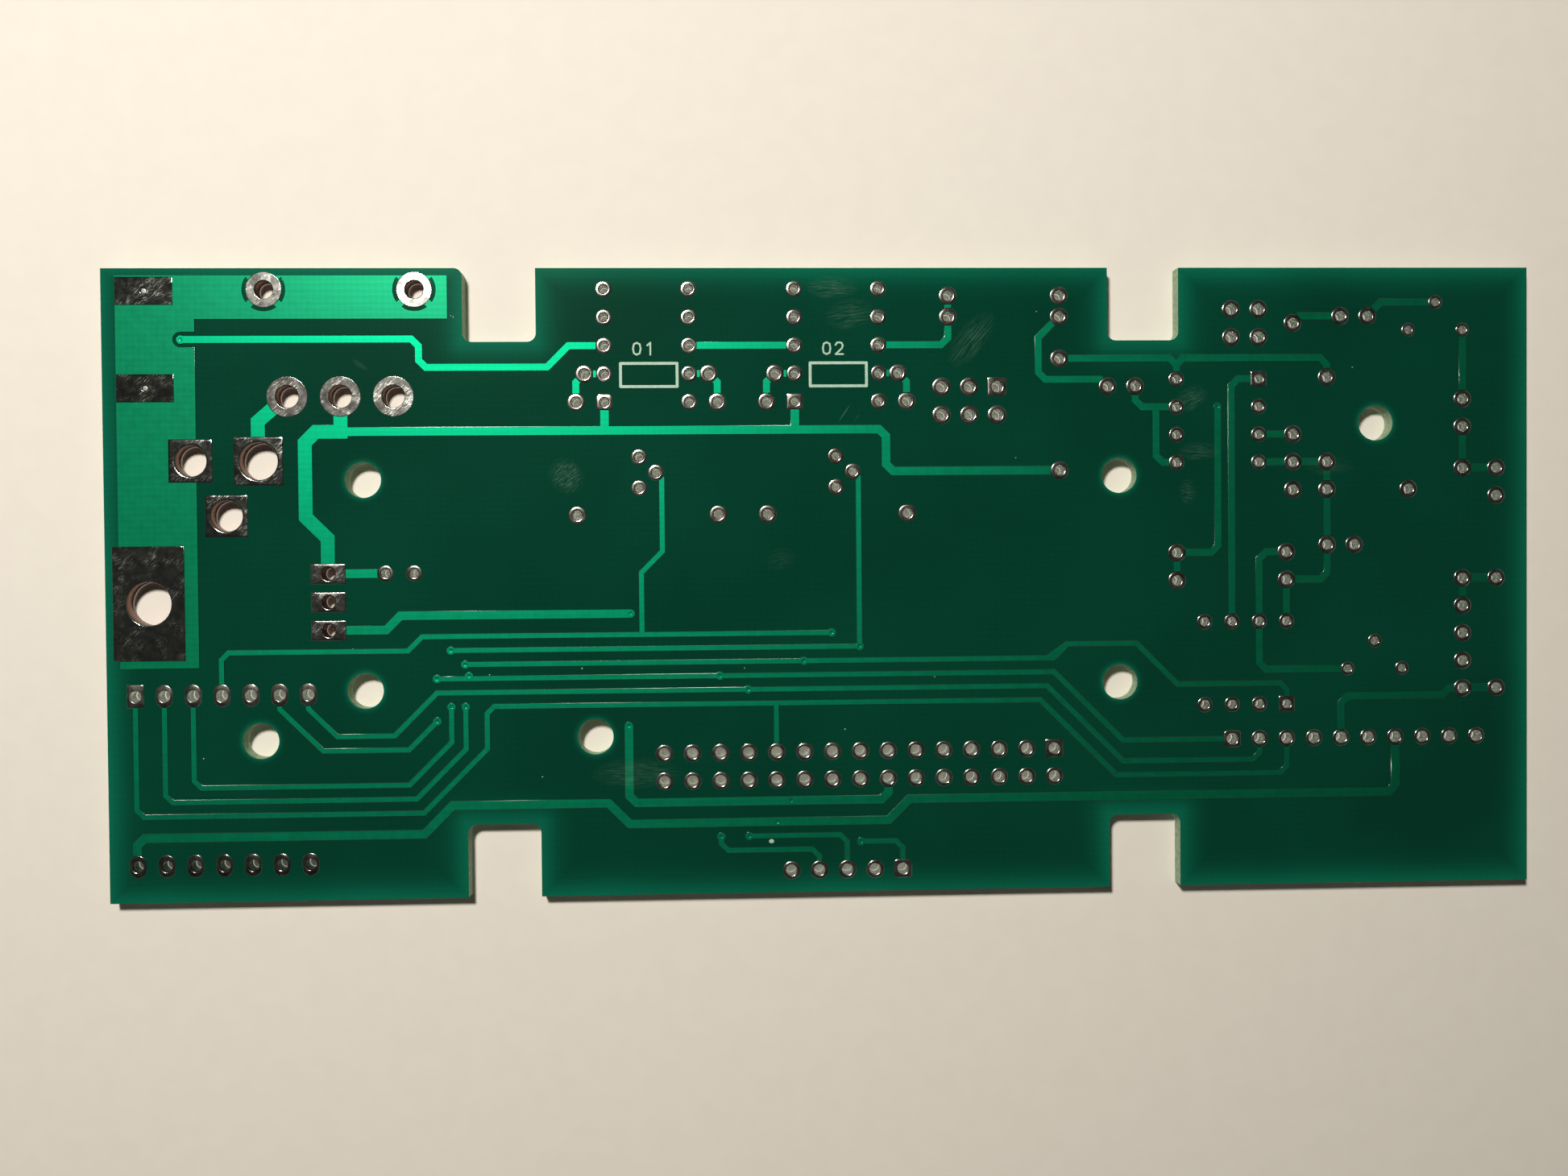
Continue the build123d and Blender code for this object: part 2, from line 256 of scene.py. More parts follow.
# Handling marks on the lacquer: place in mil, half length and half width in mm, turn in degrees, streaks,
# how solid, amount
handlingMarks = {
    "smearByDriver": ((-1737, 990), (1.7, 1.9), 40, 5.0, 0.0, 0.62),
    "cloudOverBlock": ((-790, 1655), (2.6, 1.2), 0, 3.0, 0.0, 0.53),
    "cloudBesideBlock": ((-725, 1560), (2.6, 1.6), 10, 3.0, 0.0, 0.40),
    "slantingCloud": ((-290, 1470), (3.4, 1.5), 52, 3.0, 0.0, 0.45),
    "cloudByChip": ((505, 1255), (1.8, 1.2), 30, 3.0, 0.0, 0.51),
    "brownCloud": ((530, 1065), (2.2, 1.0), 0, 3.0, 0.0, 0.38),
    "brownCloudRight": ((1010, 1010), (2.6, 1.0), 0, 3.0, 0.0, 0.26),
    "smallCloud": ((490, 920), (0.9, 1.4), 0, 3.0, 0.0, 0.32),
    "rubbedBand": ((-1500, -70), (4.6, 1.6), 0, 6.0, 0.0, 0.36),
    "faintRub": ((-980, 690), (1.6, 1.2), 20, 3.0, 0.0, 0.14),
    "screwMark": ((-2455, 1385), (1.0, 0.3), -35, 5.0, 0.0, 0.4),
    "longScratch": ((-748, 1208), (1.15, 0.06), 55, 1.0, 0.6, 0.85),
    "shortScratch": ((-705, 1190), (0.5, 0.05), 55, 1.0, 0.4, 0.43),
}


def makeMarksGroup():
    # every handling mark, added up into one mask
    group, given, mask = newMaskGroup("handlingMarks")
    total = 0.0
    for centre, (length, width), turn, streaks, solid, amount in handlingMarks.values():
        patch = placeMask(group, softPatch, Vector=given["Vector"], Centre=onBoard(*centre),
                          Turn=(0, 0, math.radians(turn)), Size=(length * mm, width * mm, patchLook["depth"]),
                          Streaks=streaks, Solid=solid, Amount=amount)
        total = mathNode(group, "ADD", total, patch, clamp=True)
    group.links.new(total, mask)
    return group


lacquerMarks = makeMarksGroup()


# Laminate: dark green lacquer, with a painted glow near every edge for the light that comes through the
# sheet, and raw glass-epoxy walls

laminateLook = {
    "darkGreen": (0.0008, 0.046, 0.0255, 1),
    # painted glow: the lighter green that the lacquer turns to near the routed edges and screw holes
    "paintedGlowGreen": (0.0020, 0.125, 0.070, 1),
    "markGrey": (0.10, 0.205, 0.16, 1),
    "rawEpoxy": (0.38, 0.49, 0.34),
    "roughness": 0.3,
    "markDulls": 0.5,
    "wallDulls": 0.45,
    "levelCoat": 0.03,  # the lacquer is smooth where it is level
    "slopingCoat": 0.17,  # and uneven where it slopes off the copper
    "glowReach": 1.3 * mm,
    "glowFall": 1.5,
    "cloudScale": 60.0,
    "cloudShades": (0.9, 1.1),
    "clothShades": (0.97, 1.03),
    "layerPitch": 0.2 * mm,
    "layerShade": 0.12,
    "grainScale": 2500.0,
    "grainShade": 0.4,
    "rippleScale": 180.0,
    "rippleShare": 0.6,
    "clothShare": 0.06,
    "relief": 0.02 * mm,
    "wallLimit": 0.5,  # a face whose normal rises less than this is a wall
    # the screw holes of the sheet, in mil, and how their painted glow starts and falls off
    "screwHole": 1.6 * mm,
    "screwPlaces": ((-2450, 980), (241, 980), (-2450, 236), (241, 236), (-2817, 63), (-1643, 63),
                    (1179, 1164)),
    "screwFall": 5.0,
    "screwStart": 0.2 * mm,
    "notchWidth": 6.55 * mm,
    "notchDepth": 6.6 * mm,
    "notchCentres": (-29.55 * mm, 28.8 * mm),
}


def edgeDistance(tree, place):
    # how far a point of the sheet is from its nearest routed edge
    look = laminateLook
    x = splitAxes(tree, place)[0]
    offMiddle = splitAxes(tree, vectorNode(tree, "ABSOLUTE", place)[0])
    near = mathNode(tree, "MINIMUM", mathNode(tree, "SUBTRACT", sheetHigh.x, offMiddle[0]),
                    mathNode(tree, "SUBTRACT", sheetHigh.y, offMiddle[1]))
    floorGap = mathNode(tree, "SUBTRACT", sheetHigh.y - look["notchDepth"], offMiddle[1])
    down = mathNode(tree, "MAXIMUM", floorGap, 0.0)
    for centre in look["notchCentres"]:
        side = mathNode(tree, "ABSOLUTE", mathNode(tree, "SUBTRACT", x, centre))
        beside = mathNode(tree, "MAXIMUM", mathNode(tree, "SUBTRACT", side, look["notchWidth"] / 2), 0.0)
        corner = mathNode(tree, "SQRT", mathNode(tree, "ADD", mathNode(tree, "POWER", beside, 2.0),
                                                 mathNode(tree, "POWER", down, 2.0)))
        near = mathNode(tree, "MINIMUM", near, corner)
    # a screw hole lets through far less light than a routed edge, so its distance starts and grows larger
    flat = vectorNode(tree, "MULTIPLY", place, i1=(1, 1, 0))[0]
    for centre in look["screwPlaces"]:
        reach = vectorNode(tree, "DISTANCE", flat, i1=onBoard(*centre, 0))["Value"]
        beyond = mathNode(tree, "SUBTRACT", reach, look["screwHole"])
        rim = mathNode(tree, "MULTIPLY_ADD", beyond, look["screwFall"], look["screwStart"])
        near = mathNode(tree, "MINIMUM", near, rim)
    return mathNode(tree, "MAXIMUM", near, 0.0)


def lacquerAndGlowColour(tree, place, cloth, marks):
    look = laminateLook
    # painted glow: the green turns lighter towards each routed edge and screw hole, standing in for light
    # that comes through the sheet
    reach = mathNode(tree, "DIVIDE", edgeDistance(tree, place), look["glowReach"])
    fall = mathNode(tree, "MULTIPLY", mathNode(tree, "POWER", reach, look["glowFall"]), -1.0)
    green = mixColour(tree, mathNode(tree, "EXPONENT", fall), look["darkGreen"], look["paintedGlowGreen"])
    cloud = noiseField(tree, place, look["cloudScale"], 3.0)
    shade = smoothRange(tree, cloud, 0.3, 0.7, *look["cloudShades"])
    tone = mathNode(tree, "MULTIPLY", shade, smoothRange(tree, cloth, 0.0, 1.0, *look["clothShades"]))
    return mixColour(tree, marks, vectorNode(tree, "SCALE", green, Scale=tone)[0], look["markGrey"])


def wallColour(tree, place):
    # bare glass-epoxy in layers
    look = laminateLook
    height = splitAxes(tree, place)[2]
    layers = mathNode(tree, "SINE", mathNode(tree, "MULTIPLY", height, 2 * math.pi / look["layerPitch"]))
    grain = mathNode(tree, "ADD", noiseField(tree, place, look["grainScale"], 3.0), look["grainShade"])
    tone = mathNode(tree, "ADD", mathNode(tree, "MULTIPLY", layers, look["layerShade"]), grain)
    return vectorNode(tree, "SCALE", look["rawEpoxy"], Scale=tone)[0]


def laminateFinish(name, coatRoughness):
    look = laminateLook
    material, tree, bsdf, place = newMaterial(name, Specular_IOR_Level=0.01, Coat_Roughness=coatRoughness)
    cloth = placeMask(tree, glassCloth, Vector=place)
    marks = placeMask(tree, lacquerMarks, Vector=place)
    normal = shaderNode(tree, "ShaderNodeNewGeometry").outputs["True Normal"]
    upward = mathNode(tree, "ABSOLUTE", splitAxes(tree, normal)[2])
    face = mathNode(tree, "GREATER_THAN", upward, look["wallLimit"])
    colour = mixColour(tree, face, wallColour(tree, place), lacquerAndGlowColour(tree, place, cloth, marks))
    tree.links.new(colour, bsdf.inputs["Base Color"])
    dull = mathNode(tree, "MULTIPLY_ADD", marks, look["markDulls"], look["roughness"] + look["wallDulls"])
    rough = mathNode(tree, "MULTIPLY_ADD", face, -look["wallDulls"], dull)
    tree.links.new(rough, bsdf.inputs["Roughness"])
    tree.links.new(face, bsdf.inputs["Coat Weight"])
    ripple = mathNode(tree, "MULTIPLY", noiseField(tree, place, look["rippleScale"]), look["rippleShare"])
    height = mathNode(tree, "MULTIPLY_ADD", cloth, look["clothShare"], ripple)
    addBump(tree, bsdf, height, look["relief"], 0.5)
    return material


# Copper under lacquer: the level top is the CAD's, and the lacquer slopes down from its edge to the sheet

copperLook = {
    "trackCopper": {"green": (0.0010, 0.275, 0.135, 1), "deepGreen": (0.0008, 0.245, 0.118, 1), "metal": 0.87,
                    "roughness": 0.395},
    "pourCopper": {"green": (0.0010, 0.225, 0.104, 1), "deepGreen": (0.0008, 0.190, 0.086, 1), "metal": 0.33,
                   "roughness": 0.31},
    "markGrey": (0.26, 0.36, 0.28, 1),
    "clothShare": 0.6,
    "grainScale": 1400.0,
    "grainShare": 0.4,
    "grainDulls": 0.08,
    "brushStretch": (0.04, 1, 1),
    "brushScale": 7000.0,
    "clothRelief": 0.8,
    "relief": 0.002 * mm,
    "upward": 0.5,  # a face whose normal rises less than this isn't part of the top
    "straight": 0.01,  # in radians
    "landGap": 0.03 * mm,  # an edge that is closer to a land than this is against it
    # how far out from the copper, and how high above the sheet, in mm
    "flank": ((0.008, 0.048), (0.022, 0.038), (0.04, 0.019), (0.06, -0.0015)),
    "sharpest": 0.625,  # at a sharper corner than this the flanks stay short of their mitre
    # how much narrower and how much lower than the last each ring of a dimple is, in mm
    "viaDimple": ((0.03, 0.004), (0.05, 0.014), (0.04, 0.004)),
    "viaReach": 0.25 * mm,
}


def copperFinish(name):
    look = copperLook
    own = look[name]
    material, tree, bsdf, place = newMaterial(name, Metallic=own["metal"], Coat_Weight=1.0,
                                              Coat_Roughness=0.05, Specular_IOR_Level=0.05)
    cloth = placeMask(tree, glassCloth, Vector=place)
    marks = placeMask(tree, lacquerMarks, Vector=place)
    grain = noiseField(tree, place, look["grainScale"], 4.0)
    grainTone = smoothRange(tree, grain, 0.3, 0.7, 0.0, look["grainShare"])
    tone = mathNode(tree, "MULTIPLY_ADD", cloth, look["clothShare"], grainTone)
    green = mixColour(tree, tone, own["deepGreen"], own["green"])
    tree.links.new(mixColour(tree, marks, green, look["markGrey"]), bsdf.inputs["Base Color"])
    rough = mathNode(tree, "MULTIPLY_ADD", grain, look["grainDulls"], own["roughness"])
    tree.links.new(rough, bsdf.inputs["Roughness"])
    # the copper was brushed along the board before it was coated
    along = vectorNode(tree, "MULTIPLY", place, i1=look["brushStretch"])[0]
    brushed = noiseField(tree, along, look["brushScale"], 1.0)
    height = mathNode(tree, "MULTIPLY_ADD", cloth, look["clothRelief"], brushed)
    addBump(tree, bsdf, height, look["relief"], 0.6)
    return material


def closeVias(bm):
    # the lacquer bridges the small plated holes: each gets a face of its own
    corners = [e.link_loops[0] for e in bm.edges if e.is_boundary]
    following = {corner.vert: corner.link_loop_next.vert for corner in corners}
    vias = []
    while following:
        first, at = following.popitem()
        loop = [first]
        while at in following:
            loop.append(at)
            at = following.pop(at)
        centre = sum((v.co.xy for v in loop), Vector((0, 0))) / len(loop)
        spokes = [v.co.xy - centre for v in loop]
        # the edge of a hole runs the other way round than an outline does
        winding = sum(a.cross(b) for a, b in zip(spokes, spokes[1:] + spokes[:1]))
        if winding < 0 and max(spoke.length for spoke in spokes) < copperLook["viaReach"]:
            vias.append(bm.faces.new(loop[::-1]))
    return vias


def dimpleVia(bm, via):
    for narrower, lower in copperLook["viaDimple"]:
        bmesh.ops.inset_region(bm, faces=[via], thickness=narrower * mm, use_boundary=True)
        bmesh.ops.translate(bm, verts=list(via.verts), vec=(0, 0, -lower * mm))


def atLand(point, lands):
    # whether a point of the sheet is on the outline of a land or inside it
    gap = copperLook["landGap"]
    for land in lands:
        away = point - land["centre"]
        reach = land["half"] + Vector((gap, gap))
        if land["square"] or land["half"].x != land["half"].y:
            if abs(away.x) < reach.x and abs(away.y) < reach.y:
                return True
        elif away.length < reach.x:
            return True
    return False


def addFlanks(bm, lands):
    # each free edge of the copper grows outwards and down; an edge against a land has no flank
    look = copperLook
    rim = [e for e in bm.edges if e.is_boundary
           and not atLand((e.verts[0].co.xy + e.verts[1].co.xy) / 2, lands)]
    outward = {}
    for edge in rim:
        corner = edge.link_loops[0]
        along = (corner.link_loop_next.vert.co.xy - corner.vert.co.xy).normalized()
        for v in edge.verts:
            outward.setdefault(v, []).append(Vector((along.y, -along.x)))
    # where each vertex of the rim starts, and which way it goes
    ways = {}
    for v, normals in outward.items():
        middle = sum(normals, Vector((0, 0))).normalized()
        ways[v] = (v.co.xy, middle / max(middle.dot(normals[0]), look["sharpest"]))
    for away, rise in look["flank"]:
        rim, ways = growEdges(bm, rim, ways)
        for v, (start, way) in ways.items():
            v.co = (start.x + way.x * away * mm, start.y + way.y * away * mm, sheetTop + rise * mm)
        for edge in rim:
            edge.link_faces[0].material_index = 1


def buildCopper(node, materials, lands):
    bm = mergedCopy(node)
    spare = [f for f in bm.faces if f.normal.z < copperLook["upward"]]
    bmesh.ops.delete(bm, geom=spare, context="FACES")
    bmesh.ops.dissolve_limit(bm, angle_limit=copperLook["straight"], verts=bm.verts, edges=bm.edges)
    for via in closeVias(bm):
        dimpleVia(bm, via)
    addFlanks(bm, lands)
    bmesh.ops.triangulate(bm, faces=[f for f in bm.faces if len(f.verts) > 4])
    bm.normal_update()
    finishPiece(bm, node, materials, [node])


# Tinned lands: a ring of tin on each side of the sheet, joined by the plating of its hole

landLook = {
    "smallSegments": 20,
    "largeSegments": 48,
    "largeLand": 2.4 * mm,
    "holeEdge": 1.02,  # in hole radii, inside which a vertex is on the edge of the hole
    "coarseHole": 8,  # sides of a small hole in the CAD
    "squareShare": 0.98,  # of the way to the corner of its box that a square land reaches
    "lift": (0.85, 1.15),
    "unevenness": 0.006,
    "unevenAbove": 0.03,
    # the lower land, from its outline to the rim of the hole: measured from, distance and height in mm
    "lowerFace": (("edge", 0, 0.003), ("edge", 0.03, -0.02), ("rim", 0.03, -0.02)),
    # the barrel, with heights in mm from one face of the sheet or the other
    "plating": 0.035,
    "barrel": (("low", 0.03), ("low", 0.8), ("high", -0.08)),
    # from the hole's rim outwards and then in from the outline, as distance and height in mm
    "wideRing": 0.6,  # the tin around a hole is wide from this on
    "wideRise": (((0, -0.03), (0.012, 0.026), (0.03, 0.043), (0.055, 0.05), (0.07, 0.05)),
                 ((0.07, 0.05), (0.055, 0.05), (0.03, 0.044), (0.012, 0.024), (0, -0.002))),
    # the tin of a narrow ring stands highest at its hole and falls away outwards
    "narrowRing": 0.27,  # the width that these distances are for
    "narrowRise": (((0, -0.03), (0.012, 0.018), (0.035, 0.038), (0.07, 0.051), (0.095, 0.052), (0.13, 0.047)),
                   ((0.09, 0.041), (0.055, 0.034), (0.02, 0.02), (0, -0.002))),
    # the tin that closes the smallest holes of a plate
    "cappedHole": 0.3 * mm,
    "capSegments": 24,
    "capGap": 0.03 * mm,
    "capDrop": 0.035 * mm,
    "capInset": 0.1 * mm,
    "capRise": 0.012 * mm,
    "tin": {"bare_plates": "bareTin", "lower_row_lands": "paintedShadeTin", "tab_land": "plateTin",
            "jack_lands": "plateTin", "regulator_lands": "powerTin", "power_pin_lands": "powerTin",
            "thermal_lands": "powerTin"},
    "mottleScale": 1500.0,
    "mottleDulls": 0.08,
    "scratchRuns": ((-0.85, 1500.0), (-0.5, 2300.0)),
    "scratchDulls": 0.22,
    "scratchDepth": 0.5,
    "barrelStart": 0.02 * mm,
}
tinLook = {
    # barrel is the colour inside the hole, set apart from the tin: brighter and greener in soldered, painted
    # light from the green sheet; dark in powerTin, plateTin and bareTin, painted shade in the hole
    "soldered": {"tin": (0.68, 0.65, 0.60, 1), "darkTin": (0.34, 0.31, 0.27, 1), "roughness": 0.15,
                 "barrel": (0.74, 0.79, 0.74, 1), "barrelRoughness": 0.33, "scratches": 0.2, "dents": 0.003},
    # the lower row's tin: a darker copy of the soldered tin, tin and barrel both, with painted shade over
    # these lands and in their holes
    "paintedShadeTin": {"tin": (0.42, 0.43, 0.40, 1), "darkTin": (0.20, 0.20, 0.18, 1), "roughness": 0.14,
                "barrel": (0.27, 0.33, 0.28, 1), "barrelRoughness": 0.3, "scratches": 0.2, "dents": 0.003},
    "powerTin": {"tin": (0.52, 0.53, 0.50, 1), "darkTin": (0.29, 0.295, 0.275, 1), "roughness": 0.125,
                 "barrel": (0.20, 0.12, 0.09, 1), "barrelRoughness": 0.42, "scratches": 0.7, "dents": 0.003},
    "plateTin": {"tin": (0.50, 0.52, 0.49, 1), "darkTin": (0.33, 0.345, 0.33, 1), "roughness": 0.08,
                 "barrel": (0.20, 0.12, 0.09, 1), "barrelRoughness": 0.42, "scratches": 0.8, "dents": 0.0012},
    "bareTin": {"tin": (0.42, 0.44, 0.41, 1), "darkTin": (0.25, 0.265, 0.25, 1), "roughness": 0.065,
                "barrel": (0.22, 0.22, 0.205, 1), "barrelRoughness": 0.45, "scratches": 0.8, "dents": 0.0012},
}


def tinFinish(name):
    look = tinLook[name]
    material, tree, bsdf, place = newMaterial(name, Metallic=1.0)
    mottle = noiseField(tree, place, landLook["mottleScale"], 5.0, 0.6)
    lines = [placeMask(tree, fineScratches, Vector=place, Turn=(0, 0, turn), Scale=scale,
                       Amount=look["scratches"]) for turn, scale in landLook["scratchRuns"]]
    scratched = mathNode(tree, "MAXIMUM", *lines)
    face = mixColour(tree, smoothRange(tree, mottle, 0.3, 0.7), look["darkTin"], look["tin"])
    middle = sheetTop / 2
    offMiddle = mathNode(tree, "ABSOLUTE", mathNode(tree, "SUBTRACT", splitAxes(tree, place)[2], middle))
    inside = mathNode(tree, "LESS_THAN", offMiddle, middle - landLook["barrelStart"])
    # inside the hole the metal takes the barrel colour, which is painted light in some finishes and painted
    # shade in others
    tree.links.new(mixColour(tree, inside, face, look["barrel"]), bsdf.inputs["Base Color"])
    rough = mathNode(tree, "MULTIPLY_ADD", mottle, landLook["mottleDulls"], look["roughness"])
    rough = mathNode(tree, "MULTIPLY_ADD", scratched, landLook["scratchDulls"], rough)
    inner = mathNode(tree, "MULTIPLY", inside, look["barrelRoughness"])
    tree.links.new(mathNode(tree, "MAXIMUM", rough, inner), bsdf.inputs["Roughness"])
    cut = mathNode(tree, "MULTIPLY", scratched, landLook["scratchDepth"])
    addBump(tree, bsdf, mathNode(tree, "SUBTRACT", mottle, cut), look["dents"] * mm, 1.0)
    return material


def readLand(verts):
    # centre, half size, hole radius and squareness of one land
    xs = [v.co.x for v in verts]
    ys = [v.co.y for v in verts]
    centre = Vector(((min(xs) + max(xs)) / 2, (min(ys) + max(ys)) / 2))
    half = Vector(((max(xs) - min(xs)) / 2, (max(ys) - min(ys)) / 2))
    reaches = [(v.co.xy - centre).length for v in verts]
    hole = min(reaches)
    sides = sum(1 for r in reaches if r < hole * landLook["holeEdge"]) // 2
    if sides == landLook["coarseHole"]:
        hole *= math.cos(math.pi / sides)  # the flats of a coarse hole touch the true circle
    square = max(reaches) > half.length * landLook["squareShare"]
    return {"centre": centre, "half": half, "hole": hole, "square": square}


def readLands(node):
    # the lands of a CAD group, each an island of its mesh
    bm = mergedCopy(node)
    unread = set(bm.verts)
    lands = []
    while unread:
        island = {unread.pop()}
        fresh = island
        while fresh:
            fresh = {e.other_vert(v) for v in fresh for e in v.link_edges} - island
            island |= fresh
        unread -= island
        lands.append(readLand(island))
    bm.free()
    return sorted(lands, key=lambda land: (round(land["centre"].x, 6), round(land["centre"].y, 6)))


def outlinePoint(land, angle, inset):
    # the outline of a land in a direction: a circle, a long round, or a rectangle
    half = land["half"] - Vector((inset, inset))
    way = Vector((math.cos(angle), math.sin(angle)))
    if land["square"]:
        corner = math.atan2(land["half"].y, land["half"].x)
        turned = math.atan2(abs(way.y), abs(way.x))
        if abs(turned - corner) < land["snap"]:
            return Vector((math.copysign(half.x, way.x), math.copysign(half.y, way.y)))
        return way * min(half.x / max(abs(way.x), tiny), half.y / max(abs(way.y), tiny))
    radius = min(half.x, half.y)
    stretch = Vector((half.x - radius, half.y - radius))
    return way * radius + Vector((math.copysign(stretch.x, way.x), math.copysign(stretch.y, way.y)))


def landRings(land):
    # every ring of a land: what it is measured from, distance, height, and which face of the sheet it is on
    look = landLook
    width = (min(land["half"]) - land["hole"]) / mm
    wide = width > look["wideRing"]
    stretch, lift = (1, 1) if wide else (width / look["narrowRing"], land["lift"])
    rings = [(origin, away, rise, "low") for origin, away, rise in look["lowerFace"]]
    rings += [("rim", -look["plating"], rise, face) for face, rise in look["barrel"]]
    for origin, profile in zip(("rim", "edge"), look["wideRise" if wide else "narrowRise"]):
        rings += [(origin, away * stretch, rise * lift, "high") for away, rise in profile]
    return rings


def addCap(bm, land):
    # the smallest hole of a plate is closed by its own tin, a little below the face
    look = landLook
    centre = Vector((land["centre"].x, land["centre"].y, sheetTop - look["capDrop"]))
    made = bmesh.ops.create_circle(bm, segments=look["capSegments"], radius=land["hole"] - look["capGap"],
                                   cap_ends=True, matrix=Matrix.Translation(centre))
    face = made["verts"][0].link_faces[0]
    bmesh.ops.inset_region(bm, faces=[face], thickness=look["capInset"], use_even_offset=True,
                           use_boundary=True)
    bmesh.ops.translate(bm, verts=list(face.verts), vec=(0, 0, look["capRise"]))


def addLand(bm, land, draw):
    look = landLook
    if land["hole"] < look["cappedHole"]:
        addCap(bm, land)
    large = max(land["half"]) * 2 > look["largeLand"]
    segments = look["largeSegments"] if large else look["smallSegments"]
    land["snap"] = math.pi / segments
    land["lift"] = draw.uniform(*look["lift"])
    lean = draw.uniform(0, 2 * math.pi)
    verts = bmesh.ops.create_circle(bm, segments=segments, radius=land["hole"])["verts"]
    edges = list(dict.fromkeys(e for v in verts for e in v.link_edges))
    angles = {v: math.atan2(v.co.y, v.co.x) for v in verts}
    for number, (origin, away, rise, face) in enumerate(landRings(land)):
        if number:
            edges, angles = growEdges(bm, edges, angles)
        level = sheetLow.z if face == "low" else sheetTop
        uneven = face == "high" and rise > look["unevenAbove"] and not large
        for v, angle in angles.items():
            if origin == "rim":
                at = Vector((math.cos(angle), math.sin(angle))) * (land["hole"] + away * mm)
            else:
                at = outlinePoint(land, angle, away * mm)
            tilt = look["unevenness"] * math.cos(angle - lean) if uneven else 0
            v.co = (land["centre"].x + at.x, land["centre"].y + at.y, level + (rise + tilt) * mm)


def buildLands(node, material, lands):
    draw = random.Random(node)
    bm = bmesh.new()
    for land in lands:
        addLand(bm, land, draw)
    bmesh.ops.recalc_face_normals(bm, faces=bm.faces)
    bm.normal_update()
    finishPiece(bm, node, [material], [node])


# White ink: the outlines of two parts, a plain number over each, and one speck

inkLook = {
    "colour": (0.41, 0.61, 0.48, 1),
    "thin": (0.35, 0.52, 0.41, 1),
    "grainScale": 3500.0,
    "relief": 0.01 * mm,
    "line": 10 * mil,
    "numberLine": 6.5 * mil,
    "thickness": 0.012 * mm,
    "frames": ((-1547, -1337), (-874, -663)),
    "frameRise": (1300, 1392),
    "frameCorner": 0.12 * mm,
    "numbers": ("01", "02"),
    "numberLeft": (-1497, -823),
    "numberFoot": 1418,
    "numberHeight": 42,
    "numberWidth": 27,
    "numberStep": 45,
    # the line of each figure, in shares of its width and height
    "figures": {
        "0": ((0.5, 0), (0.12, 0.12), (0, 0.5), (0.12, 0.88), (0.5, 1), (0.88, 0.88), (1, 0.5), (0.88, 0.12),
              (0.5, 0)),
        "1": ((0.2, 0.78), (0.6, 1), (0.6, 0)),
        "2": ((0.02, 0.78), (0.2, 0.96), (0.5, 1), (0.82, 0.95), (0.97, 0.74), (0.85, 0.5), (0.02, 0),
              (1, 0)),
    },
    "lineSegments": 12,
    "stepUp": 0.04,  # in thicknesses, by which each part of a line lies over the last
    "speck": (-1021, -320),
    "speckSize": (0.24 * mm, 0.2 * mm, 0.03 * mm),
}


def inkFinish():
    look = inkLook
    material, tree, bsdf, place = newMaterial("whiteInk", Roughness=0.55)
    grain = noiseField(tree, place, look["grainScale"], 3.0)
    colour = mixColour(tree, smoothRange(tree, grain, 0.35, 0.65), look["thin"], look["colour"])
    tree.links.new(colour, bsdf.inputs["Base Color"])
    addBump(tree, bsdf, grain, look["relief"], 0.5)
    return material


def inkFrame(bm, left, right, foot, head):
    look = inkLook
    low, high = onBoard(left, foot), onBoard(right, head)
    size = high - low
    place = Matrix.Translation((low + high) / 2) @ Matrix.Diagonal((size.x / 2, size.y / 2, 1, 1))
    made = bmesh.ops.create_grid(bm, x_segments=1, y_segments=1, size=1.0, matrix=place)
    inner = made["verts"][0].link_faces[0]
    ring = bmesh.ops.inset_region(bm, faces=[inner], thickness=look["line"], use_even_offset=True,
                                  use_boundary=True)["faces"]
    bmesh.ops.delete(bm, geom=[inner], context="FACES")
    risen = vertsOf(bmesh.ops.extrude_face_region(bm, geom=ring)["geom"])
    bmesh.ops.translate(bm, verts=risen, vec=(0, 0, look["thickness"]))
    outer = [e for v in risen for e in v.link_edges
             if abs(e.verts[0].co.z - e.verts[1].co.z) > look["thickness"] / 2
             and (abs(v.co.x - low.x) < mergeGap or abs(v.co.x - high.x) < mergeGap)]
    bmesh.ops.bevel(bm, geom=outer, offset=look["frameCorner"], segments=4, profile=0.5, affect="EDGES",
                    material=-1)


def inkStroke(bm, points):
    # a flat line with round ends, made by drawing a disc out along each part of the line
    look = inkLook
    for step, (a, b) in enumerate(zip(points, points[1:])):
        along = b - a
        place = Matrix.Translation(a) @ Matrix.Rotation(math.atan2(along.y, along.x), 4, "Z")
        disc = bmesh.ops.create_circle(bm, segments=look["lineSegments"], radius=look["numberLine"] / 2,
                                       cap_ends=True, matrix=place)["verts"]
        middle = sum((v.co for v in disc), Vector()) / len(disc)
        for v in disc:
            if (v.co - middle).dot(along) > tiny:
                v.co += along
        risen = vertsOf(bmesh.ops.extrude_face_region(bm, geom=list(disc[0].link_faces))["geom"])
        bmesh.ops.translate(bm, verts=risen, vec=(0, 0, look["thickness"] * (1 + look["stepUp"] * step)))


def inkFigure(bm, figure, left):
    look = inkLook
    inkStroke(bm, [onBoard(left + x * look["numberWidth"], look["numberFoot"] + y * look["numberHeight"])
                   for x, y in look["figures"][figure]])


